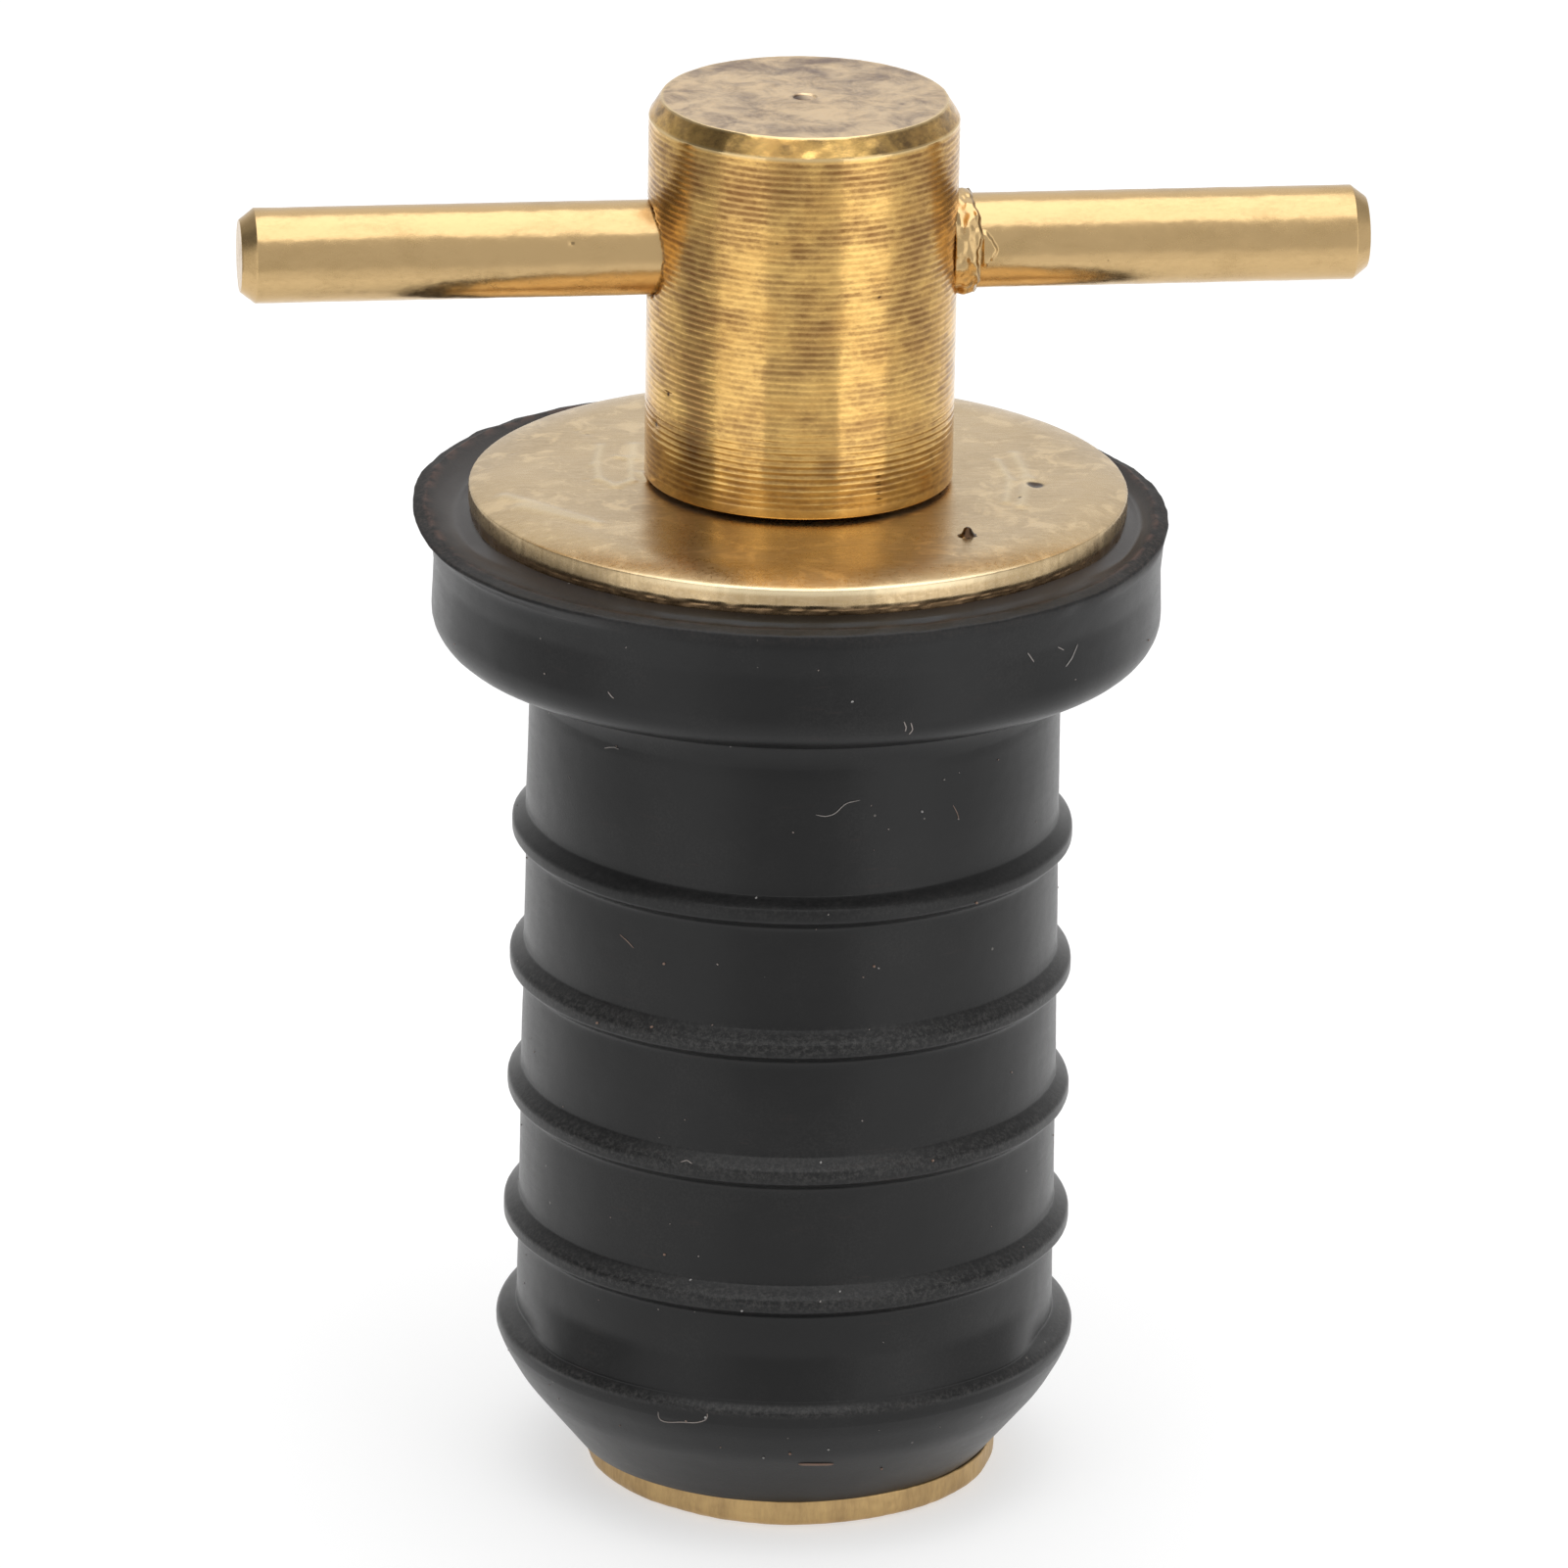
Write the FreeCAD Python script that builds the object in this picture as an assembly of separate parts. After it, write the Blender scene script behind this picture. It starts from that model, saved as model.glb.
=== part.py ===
import FreeCAD, Part
import math
import os

# Expanding T-handle drain plug for a 25 mm (1 inch) drain tube.
# The plug stands on its foot plate, with its axis on +Z and the handle bar along X.
# Turning the handle draws the foot plate up the stud, and the rubber sleeve swells in the tube.
# Every size is in millimetres.

# Foot plate, a stamped brass disc
plate_radius = 9.3
plate_thickness = 1.42
plate_bottom_roll = 0.45

# Rubber sleeve, from its nose upwards
nose_overhang = 0.2
nose_length = 3.65
corner_fall = 0.56
corner_rounding = 2.5
shoulder_flank = 1.5
shoulder_land = 0.55
shoulder_height = 0.82
shoulder_slope = 0.2
shoulder_to_rib = 5.2
rib_count = 4
rib_pitch = 6.03
rib_height = 0.63
rib_land = 0.9
rib_half_width = 0.8
neck_length = 8.44
neck_radius = 11.73
neck_draft_deg = 0.58
neck_fillet = 0.55
flange_depth = 6.11
flange_rim = 1.58
flange_rounding = 1.4
lip_reach = 0.55
lip_root_drop = 1.6
lip_tip_drop = 0.9
crest_drop = 0.35
crest_inset = 0.48
bore_clearance = 0.3

# Top washer, stamped from sheet
washer_radius = 14.5
washer_thickness = 1.45
washer_edge_roll = 0.38
washer_clearance = 0.3

# Knob, turned from bar, with a blind thread from below
knob_radius = 6.79
knob_height = 17.12
knob_gap = 0.24
knob_chamfer_radial = 0.54
knob_chamfer_axial = 0.85
knob_deburr = 0.12
centre_mark_radius = 0.5
centre_mark_depth = 0.18
thread_clearance = 0.05
thread_entry = 0.4
bore_web = 0.8

# Handle bar, pressed through the knob until it stands out about evenly
bar_radius = 2.08
bar_length = 49.6
bar_below_top = 6.71
bar_offset = 0.12
bar_chamfer_radial = 0.5
bar_chamfer_axial = 0.65
burr_width = 0.86
burr_height = 0.23

# Stud, M8 with a pitch of 1.25, riveted into the foot plate
stud_radius = 4.0
thread_pitch = 1.25
handle_turns = 2.75
stud_end_chamfer = 0.6
stud_end_clearance = 0.3
spigot_radius = 3.2
rivet_countersink = 0.6

# Heights above the foot, stacked from the bottom
z_nose = plate_thickness
z_corner = z_nose + nose_length
z_flank = z_corner + shoulder_flank
z_shoulder = z_flank + shoulder_land
z_first_rib = z_shoulder + shoulder_to_rib
z_last_rib = z_first_rib + (rib_count - 1) * rib_pitch
z_underside = z_last_rib + neck_length
z_seat = z_underside + flange_depth
z_washer_top = z_seat + washer_thickness
z_knob_bottom = z_washer_top + knob_gap
z_top = z_knob_bottom + knob_height
z_bar = z_top - bar_below_top
z_bore_end = z_bar - bar_radius - bore_web
travel = handle_turns * thread_pitch
z_stud_end = z_bore_end - travel - stud_end_clearance


def point(r, z):
    """A point of a profile, r out from the axis and z up."""
    return FreeCAD.Vector(r, 0, z)


def line(start, end):
    return Part.LineSegment(start, end).toShape()


def rounded_path(corners):
    """Straight runs through the corners (r, z, rounding), each corner turned by a tangent arc."""
    edges = []
    here = point(*corners[0][:2])
    for before, corner, after in zip(corners, corners[1:], corners[2:]):
        tip = point(*corner[:2])
        rounding = corner[2]
        if rounding == 0:
            edges.append(line(here, tip))
            here = tip
            continue
        back = (point(*before[:2]) - tip).normalize()
        ahead = (point(*after[:2]) - tip).normalize()
        half_angle = back.getAngle(ahead) / 2
        setback = rounding / math.tan(half_angle)
        inwards = (back + ahead).normalize()
        arc_start = tip + back * setback
        arc_middle = tip + inwards * (rounding / math.sin(half_angle) - rounding)
        arc_end = tip + ahead * setback
        edges.append(line(here, arc_start))
        edges.append(Part.Arc(arc_start, arc_middle, arc_end).toShape())
        here = arc_end
    edges.append(line(here, point(*corners[-1][:2])))
    return edges


def revolved(edges):
    """The solid that a closed profile sweeps about the plug's axis."""
    face = Part.Face(Part.Wire(edges))
    return face.revolve(FreeCAD.Vector(0, 0, 0), FreeCAD.Vector(0, 0, 1), 360)


def neck_radius_at(z):
    """The neck widens slightly downwards, by the draft of its mould."""
    return neck_radius + math.tan(math.radians(neck_draft_deg)) * (z_underside - z)


def ring(z, height, half_width, land):
    """Corners of a raised ring on the neck: up a slope, along a land and down again."""
    crest = neck_radius_at(z) + height
    return [
        (neck_radius_at(z - half_width), z - half_width, 0),
        (crest, z - land / 2, 0),
        (crest, z + land / 2, 0),
        (neck_radius_at(z + half_width), z + half_width, 0),
    ]


def rolled_corner(r, z, size):
    """Corners that stand for an outer edge rounded by size, as two chamfers through the middle of its arc."""
    inset = size * (1 - math.sqrt(0.5))
    return [(r - size, z, 0), (r - inset, z + inset, 0), (r, z + size, 0)]


def rubber_sleeve():
    """One moulding: nose cone, shoulder ring, ribbed neck and flange with a thin flared lip."""
    bore_radius = stud_radius + bore_clearance
    nose_radius = plate_radius + nose_overhang
    z_slope_end = z_shoulder + shoulder_slope
    shoulder_radius = neck_radius_at(z_shoulder) + shoulder_height
    corners = [
        (bore_radius, z_nose, 0),
        (nose_radius, z_nose, 0),
        (shoulder_radius - corner_fall, z_corner, corner_rounding),
        (shoulder_radius, z_flank, 0),
        (shoulder_radius, z_shoulder, 0),
        (neck_radius_at(z_slope_end), z_slope_end, 0),
    ]
    for number in range(rib_count):
        corners += ring(z_first_rib + number * rib_pitch, rib_height, rib_half_width, rib_land)
    flange_radius = washer_radius + flange_rim
    corners += [
        (neck_radius, z_underside - neck_fillet, 0),
        (neck_radius + neck_fillet, z_underside, 0),
    ]
    corners += rolled_corner(flange_radius, z_underside, flange_rounding)
    corners += [
        (flange_radius, z_seat - lip_root_drop, 0),
        (flange_radius + lip_reach, z_seat - lip_tip_drop, 0),
        (flange_radius - crest_inset, z_seat - crest_drop, 0),
        (washer_radius, z_seat, 0),
        (bore_radius, z_seat, 0),
        (bore_radius, z_nose, 0),
    ]
    return revolved(rounded_path(corners))


def top_washer():
    """Stamped washer: its upper edge is rolled over by the die, its lower edge is sheared sharp."""
    hole_radius = stud_radius + washer_clearance
    return revolved(rounded_path([
        (hole_radius, z_seat, 0),
        (washer_radius, z_seat, 0),
        (washer_radius, z_washer_top - washer_edge_roll, 0),
        (washer_radius - washer_edge_roll, z_washer_top, 0),
        (hole_radius, z_washer_top, 0),
        (hole_radius, z_seat, 0),
    ]))


def knob():
    """Turned cylinder with a chamfered top, a centre mark, a blind thread and a cross hole."""
    bore_radius = stud_radius + thread_clearance
    body = revolved(rounded_path([
        (bore_radius + thread_entry, z_knob_bottom, 0),
        (knob_radius - knob_deburr, z_knob_bottom, 0),
        (knob_radius, z_knob_bottom + knob_deburr, 0),
        (knob_radius, z_top - knob_chamfer_axial, 0),
        (knob_radius - knob_chamfer_radial, z_top, 0),
        (centre_mark_radius, z_top, 0),
        (0, z_top - centre_mark_depth, 0),
        (0, z_bore_end, 0),
        (bore_radius, z_bore_end, 0),
        (bore_radius, z_knob_bottom + thread_entry, 0),
        (bore_radius + thread_entry, z_knob_bottom, 0),
    ]))
    cross_hole = Part.makeCylinder(bar_radius, 4 * knob_radius, FreeCAD.Vector(-2 * knob_radius, 0, z_bar),
                                   FreeCAD.Vector(1, 0, 0))
    return body.cut(cross_hole)


def handle_bar():
    """Round bar with chamfered ends, and the ring of metal that pressing it in pushed up on one side."""
    x_low = bar_offset - bar_length / 2
    x_high = bar_offset + bar_length / 2
    section = Part.makePolygon([
        FreeCAD.Vector(x_low, 0, z_bar),
        FreeCAD.Vector(x_low, 0, z_bar + bar_radius - bar_chamfer_radial),
        FreeCAD.Vector(x_low + bar_chamfer_axial, 0, z_bar + bar_radius),
        FreeCAD.Vector(x_high - bar_chamfer_axial, 0, z_bar + bar_radius),
        FreeCAD.Vector(x_high, 0, z_bar + bar_radius - bar_chamfer_radial),
        FreeCAD.Vector(x_high, 0, z_bar),
        FreeCAD.Vector(x_low, 0, z_bar),
    ])
    along_x = FreeCAD.Vector(1, 0, 0)
    bar = Part.Face(section).revolve(FreeCAD.Vector(0, 0, z_bar), along_x, 360)
    burr = Part.makeCylinder(bar_radius + burr_height, knob_radius + burr_width, FreeCAD.Vector(0, 0, z_bar), along_x)
    knob_body = Part.makeCylinder(knob_radius, 4 * bar_radius, FreeCAD.Vector(0, 0, z_bar - 2 * bar_radius))
    return bar.fuse(burr.cut(knob_body)).removeSplitter()


def stud():
    """Threaded stud, shown at its outer diameter, with a spigot riveted over in the foot plate."""
    return revolved(rounded_path([
        (0, 0, 0),
        (spigot_radius + rivet_countersink, 0, 0),
        (spigot_radius, rivet_countersink, 0),
        (spigot_radius, z_nose, 0),
        (stud_radius, z_nose, 0),
        (stud_radius, z_stud_end - stud_end_chamfer, 0),
        (stud_radius - stud_end_chamfer, z_stud_end, 0),
        (0, z_stud_end, 0),
        (0, 0, 0),
    ]))


def foot_plate():
    """Stamped disc, countersunk underneath for the riveted end of the stud."""
    return revolved(rounded_path([
        (spigot_radius, rivet_countersink, 0),
        (spigot_radius + rivet_countersink, 0, 0),
        (plate_radius - plate_bottom_roll, 0, 0),
        (plate_radius, plate_bottom_roll, 0),
        (plate_radius, z_nose, 0),
        (spigot_radius, z_nose, 0),
        (spigot_radius, rivet_countersink, 0),
    ]))


pieces = {
    "rubber_sleeve": rubber_sleeve(),
    "top_washer": top_washer(),
    "knob": knob(),
    "handle_bar": handle_bar(),
    "stud": stud(),
    "foot_plate": foot_plate(),
}

os.makedirs("parts", exist_ok=True)
for name, shape in pieces.items():
    shape.exportStep("parts/" + name + ".step")
    box = shape.BoundBox
    print(name, "solids", len(shape.Solids), "valid", shape.isValid(), "volume %.1f" % shape.Volume,
          "z %.2f to %.2f" % (box.ZMin, box.ZMax), "x %.2f to %.2f" % (box.XMin, box.XMax))
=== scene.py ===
import math
from types import SimpleNamespace

import bpy
import numpy as np
from mathutils import Matrix, Vector


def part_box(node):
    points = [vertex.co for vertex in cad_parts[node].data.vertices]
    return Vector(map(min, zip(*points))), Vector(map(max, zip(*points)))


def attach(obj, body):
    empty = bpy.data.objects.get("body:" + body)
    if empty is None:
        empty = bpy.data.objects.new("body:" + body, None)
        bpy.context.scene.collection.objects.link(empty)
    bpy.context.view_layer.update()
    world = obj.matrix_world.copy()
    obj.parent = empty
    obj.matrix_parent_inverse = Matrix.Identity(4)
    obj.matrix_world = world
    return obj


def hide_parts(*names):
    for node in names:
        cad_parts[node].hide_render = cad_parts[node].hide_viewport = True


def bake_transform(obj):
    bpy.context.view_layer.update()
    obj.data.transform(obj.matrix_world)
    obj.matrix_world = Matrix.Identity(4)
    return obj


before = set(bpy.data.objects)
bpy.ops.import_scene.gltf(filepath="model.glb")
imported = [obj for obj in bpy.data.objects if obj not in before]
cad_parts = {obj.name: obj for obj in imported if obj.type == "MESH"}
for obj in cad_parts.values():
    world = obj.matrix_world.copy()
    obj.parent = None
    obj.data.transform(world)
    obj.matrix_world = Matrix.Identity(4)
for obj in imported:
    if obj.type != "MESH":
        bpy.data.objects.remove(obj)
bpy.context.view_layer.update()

# Stud
# A brass screw with an M8 thread, cut to length from threaded rod. Its foot passes through the foot plate
# and is hammered over into a countersink underneath, so the two turn and rise as one piece.


def in_mm(box):
    """The lowest and the highest corner of a CAD node's box, turned from metres into millimetres."""
    return [np.array(corner) * 1000 for corner in box]


def placed(name, data):
    """A new object in the scene, for a mesh, a lamp or the camera."""
    made = bpy.data.objects.new(name, data)
    bpy.context.scene.collection.objects.link(made)
    return made


def make_piece(name, surface, ring=False, **measures):
    """Makes a closed mesh from grids of points in millimetres.

    The surface has the shape (rows, columns, 3) or (grids, rows, columns, 3). Columns close round the
    piece. In a ring the last row joins the first. Otherwise each end row closes on a point at its
    middle. Measures are values on the same grids, kept as attributes.
    """
    rows, columns = surface.shape[-3:-1]
    grids = surface.reshape(-1, rows, columns, 3)
    points = grids.reshape(-1, 3)
    here = np.arange(len(points)).reshape(-1, rows, columns)
    beside = np.roll(here, -1, axis=2)
    above, diagonal = np.roll(here, -1, axis=1), np.roll(beside, -1, axis=1)
    quads = np.stack([here, beside, diagonal, above], axis=-1)
    quads = (quads if ring else quads[:, :-1]).reshape(-1, 4)
    ends = np.empty((0, 3), int)
    if not ring:
        tips = len(points) + np.arange(2 * len(grids)).reshape(-1, 2)
        points = np.concatenate([points, grids[:, [0, -1]].mean(axis=2).reshape(-1, 3)])
        low = np.stack(np.broadcast_arrays(tips[:, :1], beside[:, 0], here[:, 0]), axis=-1)
        high = np.stack(np.broadcast_arrays(tips[:, 1:], here[:, -1], beside[:, -1]), axis=-1)
        ends = np.concatenate([low, high]).reshape(-1, 3)
    corners = points[quads]
    middles = corners.mean(axis=1)
    normals = np.cross(corners[:, 2] - corners[:, 0], corners[:, 3] - corners[:, 1])
    if np.sum(middles * normals) < 0:
        quads, ends = quads[:, ::-1], ends[:, ::-1]
    mesh = bpy.data.meshes.new(name)
    mesh.from_pydata((points / 1000).tolist(), [], quads.tolist() + ends.tolist())
    mesh.shade_smooth()
    for label, values in measures.items():
        values = np.broadcast_to(values, here.shape)
        at_tips = np.empty(0) if ring else values[:, [0, -1], 0].reshape(-1)
        values = np.concatenate([values.reshape(-1), at_tips])
        mesh.attributes.new(label, "FLOAT", "POINT").data.foreach_set("value", values.astype(np.float32))
    return placed(name, mesh)


def straight(start, stop, step):
    """Evenly spaced points from start up to, but without, stop."""
    count = max(1, math.ceil(np.hypot(*(stop - start)) / step))
    return start + np.linspace(0, 1, count, endpoint=False)[:, None] * (stop - start)


def outline(corners, step):
    """Points (r, z) along straight runs between corners (r, z, rounding), each turned by a tangent arc.

    An arc of radius q about a corner starts q / tan(half the angle) before it, and its points are the
    sine-weighted means of its two end radii. Points closer together than the smallest gap are merged.
    """
    points_per_radian, fewest_points, smallest_gap = 5, 4, 1e-4
    stretches = []
    here = np.array(corners[0][:2], float)
    for before, corner, after in zip(corners, corners[1:], corners[2:]):
        tip = np.array(corner[:2], float)
        back, ahead = np.array(before[:2]) - tip, np.array(after[:2]) - tip
        back, ahead = back / np.hypot(*back), ahead / np.hypot(*ahead)
        half = math.acos(np.clip(back @ ahead, -1, 1)) / 2
        setback = corner[2] / math.tan(half)
        start, stop = tip + back * setback, tip + ahead * setback
        centre = tip + (back + ahead) / np.hypot(*(back + ahead)) * corner[2] / math.sin(half)
        turn = math.pi - 2 * half
        arc_points = max(fewest_points, int(turn * points_per_radian))
        share = np.linspace(0, 1, arc_points, endpoint=False)[:, None]
        near_start, near_stop = np.sin((1 - share) * turn), np.sin(share * turn)
        arc = centre + (near_start * (start - centre) + near_stop * (stop - centre)) / math.sin(turn)
        stretches += [straight(here, start, step), arc]
        here = stop
    last = np.array(corners[-1][:2], float)
    stretches += [straight(here, last, step), last[None, :]]
    path = np.concatenate(stretches)
    apart = np.hypot(*np.diff(path, axis=0).T) > smallest_gap
    return path[np.concatenate([[True], apart])]


def full_turn(columns):
    """The angles of evenly spaced columns round an axis, as one row."""
    return np.linspace(0, 2 * np.pi, columns, endpoint=False)[None, :]


def turned(radius, height, columns):
    """Carries a profile round the axis: x = r cos(a), y = r sin(a), z = height, with a over the columns."""
    angle = full_turn(columns)
    radius, height = np.broadcast_arrays(radius + 0 * angle, height + 0 * angle)
    return np.stack([radius * np.cos(angle), radius * np.sin(angle), height], axis=-1)


def smooth(value, low, high):
    """Rises from 0 at low to 1 at high, along 3t^2 - 2t^3."""
    share = np.clip((value - low) / (high - low), 0, 1)
    return share * share * (3 - 2 * share)


def node(tree, kind, inputs=(), **settings):
    """Adds a shader node, sets its settings, and gives each named input a value or a link."""
    made = tree.nodes.new("ShaderNode" + kind)
    for name, value in settings.items():
        setattr(made, name, value)
    for name, value in dict(inputs).items():
        if isinstance(value, bpy.types.NodeSocket):
            tree.links.new(value, made.inputs[name])
        else:
            made.inputs[name].default_value = value
    return made


def maths(operation, first, second=0.0, third=0.0, clamp=False):
    """The output of one Math node, made in the tree of its first socket."""
    inputs = {0: first, 1: second, 2: third}
    return node(first.id_data, "Math", inputs, operation=operation, use_clamp=clamp).outputs[0]


def times(first, second):
    """first * second."""
    return maths("MULTIPLY", first, second)


def scaled(value, factor, added, clamp=False):
    """value * factor + added."""
    return maths("MULTIPLY_ADD", value, factor, added, clamp)


def mixed(share, first, second):
    """The colour share of the way from first to second."""
    return node(share.id_data, "Mix", {0: share, 6: first, 7: second}, data_type="RGBA").outputs[2]


def ramp(value, low, high):
    """Maps value from low..high to 0..1, clamped and smooth at both ends."""
    return node(value.id_data, "MapRange", {"Value": value, "From Min": low, "From Max": high},
                interpolation_type="SMOOTHSTEP").outputs[0]


def millimetres(tree, stretch=(1, 1, 1)):
    """The piece's own coordinates in millimetres, stretched along an axis by a factor under 1 there."""
    where = node(tree, "TexCoord").outputs["Object"]
    return node(tree, "Mapping", {"Vector": where, "Scale": [1000 * s for s in stretch]}).outputs[0]


def noise(vector, scale, detail=3.0, roughness=0.5, distortion=0.0):
    """Noise of about 1 / scale millimetres."""
    inputs = {"Vector": vector, "Scale": scale, "Detail": detail, "Roughness": roughness,
              "Distortion": distortion}
    return node(vector.id_data, "TexNoise", inputs).outputs[0]


def new_material(name, **sockets):
    """A material with one Principled shader, its sockets set by their names."""
    material = bpy.data.materials.new(name)
    material.use_nodes = True
    tree = material.node_tree
    shader = tree.nodes["Principled BSDF"]
    for socket, value in sockets.items():
        shader.inputs[socket.replace("_", " ")].default_value = value
    return material, tree, shader


def link(socket, target):
    socket.id_data.links.new(socket, target)


def bumped(shader, height, distance):
    """Gives the shader a bump from a height of 0 to 1 that stands distance metres tall."""
    bump = node(shader.id_data, "Bump", {"Height": height, "Distance": distance, "Strength": 1.0})
    link(bump.outputs[0], shader.inputs["Normal"])


def dress(piece, material):
    piece.data.materials.append(material)


stud_high = in_mm(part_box("stud"))[1]
plate_high = in_mm(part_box("foot_plate"))[1]
thread_pitch = 1.25
thread_depth = 0.72
thread_flat = 0.12
stud_columns = 72
stud_radius = stud_high[0]
stud_chamfer = 0.6
stud_pole = 0.05
spigot_radius = 3.2
countersink = 0.6
plate_top = plate_high[2]

stud_profile = outline([
    (stud_pole, 0.0, 0), (spigot_radius + countersink, 0.0, 0.03), (spigot_radius, countersink, 0.03),
    (spigot_radius, plate_top, 0.03), (stud_radius, plate_top, 0.05),
    (stud_radius, stud_high[2] - stud_chamfer, 0.05), (stud_radius - stud_chamfer, stud_high[2], 0.05),
    (stud_pole, stud_high[2], 0)], 0.11)
stud_r, stud_z = stud_profile[:, :1], stud_profile[:, 1:]
share_of_turn = np.linspace(0, 1, stud_columns, endpoint=False)[None, :]
thread_phase = np.abs(np.mod(stud_z / thread_pitch - share_of_turn, 1) - 0.5) * 2
groove = np.clip((thread_phase - thread_flat) / (1 - 2 * thread_flat), 0, 1)
on_thread = smooth(stud_z, plate_top + 0.2, plate_top + 1.2)
on_thread *= smooth(stud_r, stud_radius - 0.7, stud_radius - 0.6)
stud_points = turned(stud_r - thread_depth * groove * on_thread, stud_z, stud_columns)
stud_piece = make_piece("stud_screw", stud_points)


def brass(name, bright, dull, roughness, patch=0.35, cover=(0.45, 0.75), stretch=(1, 1, 1), grain=9.0,
          bump=2e-6):
    """Brass with a darker skin in patches, ready for finish_brass.

    Noise of patch size mixes bright and dull between the two noise levels in cover, and fine noise of
    grain size speckles and roughens it. Stretch draws both out along an axis, as drawing or grinding does.
    """
    speckled, middle_of_speckle = 0.35, 0.17
    roughness_swing, skin_rougher = 0.22, 0.08
    material, tree, shader = new_material(name, Metallic=1.0)
    where = millimetres(tree, stretch)
    blotch = noise(where, patch, detail=5.0, roughness=0.6, distortion=0.4)
    speck = noise(where, grain, detail=4.0, roughness=0.65)
    low, high = [level + middle_of_speckle for level in cover]
    skin = ramp(scaled(speck, speckled, blotch), low, high)
    colour = mixed(skin, (*bright, 1), (*dull, 1))
    rough = scaled(speck, roughness_swing, roughness - roughness_swing / 2)
    rough = scaled(skin, skin_rougher, rough)
    return SimpleNamespace(material=material, tree=tree, shader=shader, where=where, colour=colour,
                           speck=speck, rough=rough, bump=bump)


def finish_brass(made, colour=None, height=None, rougher=None):
    """Links the last colour, roughness and bump of a brass, and returns its material."""
    link(colour or made.colour, made.shader.inputs["Base Color"])
    rough = made.rough
    if rougher is not None:
        rough = maths("ADD", rough, rougher, clamp=True)
    link(rough, made.shader.inputs["Roughness"])
    bumped(made.shader, height or made.speck, made.bump)
    return made.material


dress(stud_piece, finish_brass(brass("threaded_brass", (0.72, 0.47, 0.17), (0.36, 0.22, 0.09), 0.3)))
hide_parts("stud")
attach(stud_piece, "screw")

# Foot plate
# A disc stamped from sheet brass. The die rolls its lower edge over and leaves upright shear marks on the
# side. It is riveted on the stud a little off centre, and bears against the rubber's nose.


def ripple(seed, size, x, y, z):
    """A smooth random field of about -1 to 1: sine waves, each about size long, in random directions."""
    wave_count, usual_peak = 40, 9
    random = np.random.default_rng(seed)
    total = np.zeros(np.broadcast(x, y, z).shape)
    for wave in range(wave_count):
        direction = random.normal(size=3)
        direction *= 2 * np.pi * random.uniform(0.6, 1.6) / size / np.linalg.norm(direction)
        total += np.sin(direction[0] * x + direction[1] * y + direction[2] * z + random.uniform(0, 2 * np.pi))
    return total / usual_peak


plate_radius = plate_high[0] - 0.1
plate_roll_width, plate_roll_height = 0.65, 0.32
plate_rounding = 0.45
plate_off_centre = 0.34
plate_off_angle = math.radians(-10)
plate_columns = 320
plate_edge = outline([
    (spigot_radius, countersink, 0), (spigot_radius + countersink, 0.0, 0.03),
    (plate_radius - plate_roll_width, 0.0, plate_rounding), (plate_radius, plate_roll_height, plate_rounding),
    (plate_radius, plate_top, 0.09), (spigot_radius, plate_top, 0),
    (spigot_radius, countersink, 0)], 0.12)[:-1]
plate_r, plate_z = plate_edge[:, :1], plate_edge[:, 1:]
plate_angle = full_turn(plate_columns)
plate_rim = smooth(plate_r, plate_radius - 2.0, plate_radius)
plate_x, plate_y = plate_radius * np.cos(plate_angle), plate_radius * np.sin(plate_angle)
plate_wave = 0.07 * ripple(3, 4.0, plate_x, plate_y, 0) + 0.02 * ripple(4, 0.6, plate_x, plate_y, plate_z)
plate_shift = plate_off_centre * np.cos(plate_angle - plate_off_angle)
plate_points = turned(plate_r + plate_rim * (plate_shift + plate_wave), plate_z, plate_columns)
plate_piece = make_piece("foot_disc", plate_points, ring=True)
plate_brass = brass("stamped_plate_brass", (0.58, 0.395, 0.18), (0.39, 0.26, 0.125), 0.42, patch=0.5,
                    cover=(0.3, 0.8), stretch=(1, 1, 0.25), grain=6.0, bump=2.5e-6)
dress(plate_piece, finish_brass(plate_brass))
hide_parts("foot_plate")
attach(plate_piece, "screw")

# Rubber sleeve
# One moulding of black rubber: nose cone, shoulder ring, neck with four ribs, and a flange with a thin lip
# that the washer's rim has squeezed up. The stud runs through its bore, and its nose sits on the foot plate.

sleeve_low, sleeve_high = in_mm(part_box("rubber_sleeve"))
z_nose, z_seat = sleeve_low[2], sleeve_high[2]
bore_radius = 4.3
nose_radius = 9.4
shoulder_bottom, shoulder_top = 6.45, 7.5
shoulder_radius = 12.92
neck_radius = 11.73
neck_draft = 0.0102
rib_heights = (12.22, 18.25, 24.17, 30.4)
rib_rises = (0.66, 0.6, 0.62, 0.62)
rib_foot_below, rib_crest_below = 0.88, 0.46
rib_foot_above, rib_crest_above = 0.62, 0.09
z_underside = 38.85
fillet_bottom = z_underside - 2.1
flange_radius = 16.15
lip_crest_radius = 15.62
channel_radius = 15.1
under_washer_radius = 13.9
under_washer_drop = 0.12
camera_side = math.radians(-97.5)
sleeve_columns = 288


def bell(distance, half_width, power):
    """A raised cosine, (1 + cos(pi t)) / 2 to a power: 1 at the middle and 0 from the half width outwards."""
    share = np.clip(np.abs(distance) / half_width, 0, 1)
    return ((1 + np.cos(np.pi * share)) / 2) ** power


def spread(path, columns):
    """A profile's r and z as columns, the angles round the axis as a row, and x and y on their grid."""
    radius, height, angle = path[:, :1], path[:, 1:], full_turn(columns)
    return radius, height, angle, radius * np.cos(angle), radius * np.sin(angle)


def neck_at(z):
    """The neck's radius at a height: it widens downwards by the mould's draft."""
    return neck_radius + neck_draft * (z_underside - z)


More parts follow.
